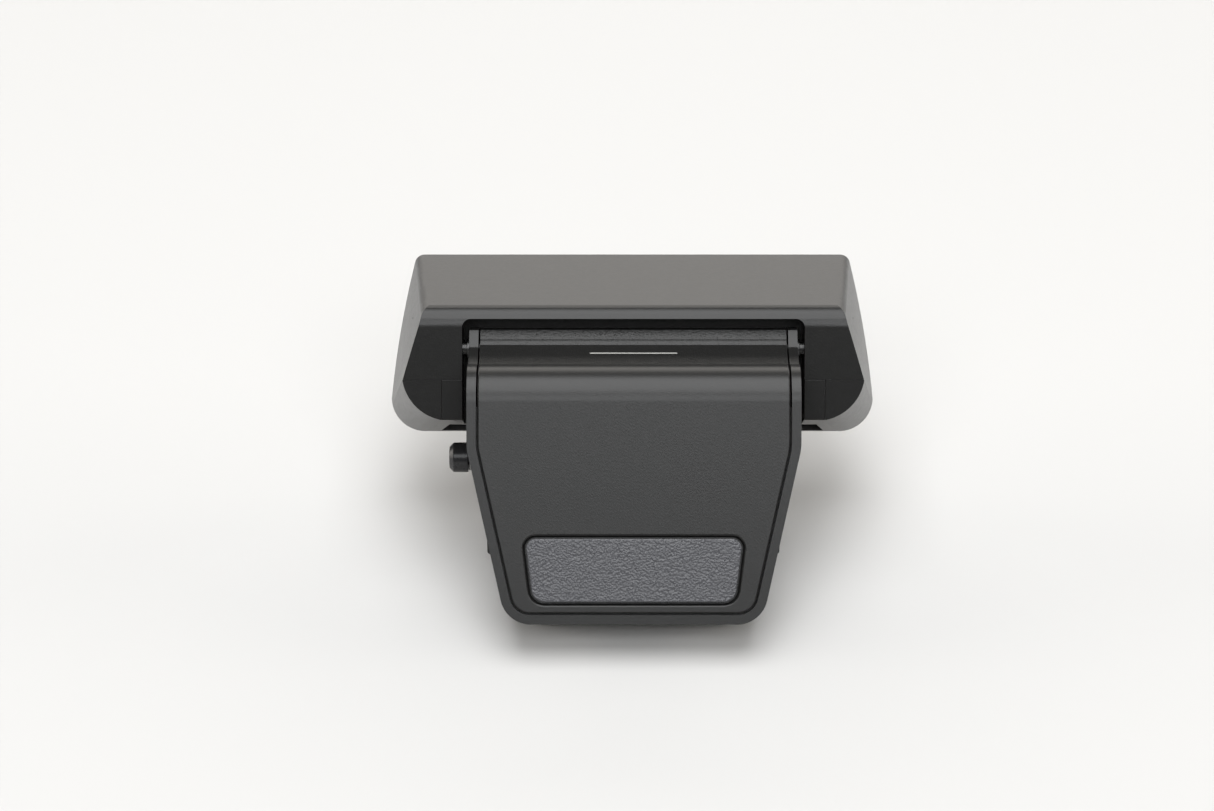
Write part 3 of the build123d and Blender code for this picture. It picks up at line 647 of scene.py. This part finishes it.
metal = []
for side, pellet in ((-1, 2.4), (1, 1.2)):
    pin = [(19.8, 0.12), (19.75, 0.2), (19.4, 0.38), (19.3, 0.4), (18.6, 0.4), (18.5, 0.22), (16.4, 0.2)]
    pin += [(16.35, 0.5), (16.25, 0.56), (16.35 - pellet, 0.56), (16.25 - pellet, 0.5)]
    pin = [(side * x, radius) for x, radius in pin]
    metal.append(plain_mesh("electrode", *turned(pin, (tube_along, tube_up), 24), head_place))
wire_length = 28.0
wire_sizes = {"Coil Radius": tube_radius + 0.05, "Wire Radius": 0.035, "Length": wire_length, "Turns": 9.0}
wire = grown("trigger_wire", bpy.data.meshes.new("wire_seed"), spring_tree, wire_sizes)
wire.transform(Matrix.Translation((-wire_length / 2, tube_along, tube_up)) @ Matrix.Rotation(pi / 2, 4, "Y"))
wire.transform(head_place)
metal.append(wire)
electrodes = joined("tube_electrodes_metal", metal)
electrodes.set_sharp_from_angle(angle=radians(40))
link_piece("tube_electrodes_metal", electrodes, "tube_electrodes")
print("tube and electrodes:", len(tube.polygons) + len(electrodes.polygons), "faces")

# %% [markdown]
# ## The window
# The window is a clear plate with fine ribs moulded across its inner side, which spread the flash evenly.
# One rib is drawn, and a rule repeats it down the plate at a fixed pitch.

# %% Window plate and ribs
softened("window", 0.10)

rib_tree, start, end = new_tree("window_ribs", ("Count", "Pitch", "Rib Radius", "Rib Length"))
stack = rib_tree.nodes.new("GeometryNodeMeshLine")
step_up = rib_tree.nodes.new("ShaderNodeCombineXYZ")
rib_tree.links.new(start.outputs["Pitch"], step_up.inputs["Z"])
rib_tree.links.new(start.outputs["Count"], stack.inputs["Count"])
rib_tree.links.new(step_up.outputs["Vector"], stack.inputs["Offset"])
bar = rib_tree.nodes.new("GeometryNodeMeshCylinder")
bar.inputs["Vertices"].default_value = 12
rib_tree.links.new(start.outputs["Rib Radius"], bar.inputs["Radius"])
rib_tree.links.new(start.outputs["Rib Length"], bar.inputs["Depth"])
lie_down = rib_tree.nodes.new("GeometryNodeTransform")
lie_down.inputs["Rotation"].default_value = (0, pi / 2, 0)
rib_tree.links.new(bar.outputs["Mesh"], lie_down.inputs["Geometry"])
repeat = rib_tree.nodes.new("GeometryNodeInstanceOnPoints")
rib_tree.links.new(stack.outputs["Mesh"], repeat.inputs["Points"])
rib_tree.links.new(lie_down.outputs["Geometry"], repeat.inputs["Instance"])
finish_tree(rib_tree, repeat.outputs["Instances"], end, finish["window_clear"])

rib_along, lowest_rib_up = 10.36, -6.4
rib_sizes = {"Count": 23.0, "Pitch": 0.5, "Rib Radius": 0.22, "Rib Length": 35.6}
ribs = grown("window_ribs", bpy.data.meshes.new("rib_seed"), rib_tree, rib_sizes)
ribs.transform(Matrix.Translation((0, rib_along, lowest_rib_up)))
ribs.transform(head_place)
ribs.shade_smooth()
ribs.set_sharp_from_angle(angle=radians(40))
link_piece("window_ribs", ribs, "window")
print("ribs:", len(ribs.polygons), "faces")

# %% [markdown]
# ## The main capacitor
# The largest part inside the arm stores the charge for one flash. It is an aluminium can in a shrunk
# plastic sleeve, rolled in at its open end to grip a rubber bung.

# %% Capacitor
low, high = (Vector(corner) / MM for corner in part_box("main_capacitor"))
sleeve_play = 0.02
middle, can = (low + high) / 2, (high.z - low.z) / 2 - sleeve_play
x0, x1 = low.x + sleeve_play, high.x - sleeve_play
can_profile = [(x0 + 0.35, can * 0.55), (x0 + 0.3, can * 0.62), (x0, can * 0.66), (x0, can * 0.88)]
can_profile += [(x0 + 0.3, can), (x0 + 1.5, can)]
can_profile += [(x0 + 1.8, can * 0.93), (x0 + 2.1, can * 0.93), (x0 + 2.4, can)]
can_profile += [(x1 - 0.35, can), (x1 - 0.1, can * 0.96), (x1, can * 0.87), (x1, can * 0.84)]
can_profile += [(x1 - 0.08, can * 0.80)]
can_mesh = plain_mesh("capacitor_can", *turned(can_profile, (middle.y, middle.z), 56), Matrix.Scale(MM, 4))
can_mesh.set_sharp_from_angle(angle=radians(50))
link_piece("capacitor_can", can_mesh, "main_capacitor")
print("capacitor:", len(can_mesh.polygons), "faces")

# %% [markdown]
# ## The pins, which keep their measured shape
# The fold pin and the two bounce pins are plain turned steel, cut from rod, and the measured solids already
# have that shape. They only need their finish.

# %% Finishes on the measured pieces
def dress(node):
    """Gives a measured piece the finish of its slot."""
    data = nodes[node].data
    if not data.materials:
        data.materials.append(None)
    for index in range(len(data.materials)):
        data.materials[index] = finish[slot_of[node]]


rebuilt = {"thumb_pad", "reflector", "flash_tube", "tube_electrodes", "window", "main_capacitor"}
replaced = set(edge_radii) | set(springs) | rebuilt
for node in nodes:
    if node not in replaced:
        dress(node)
print("dressed:", len(nodes) - len(replaced), "measured pieces")
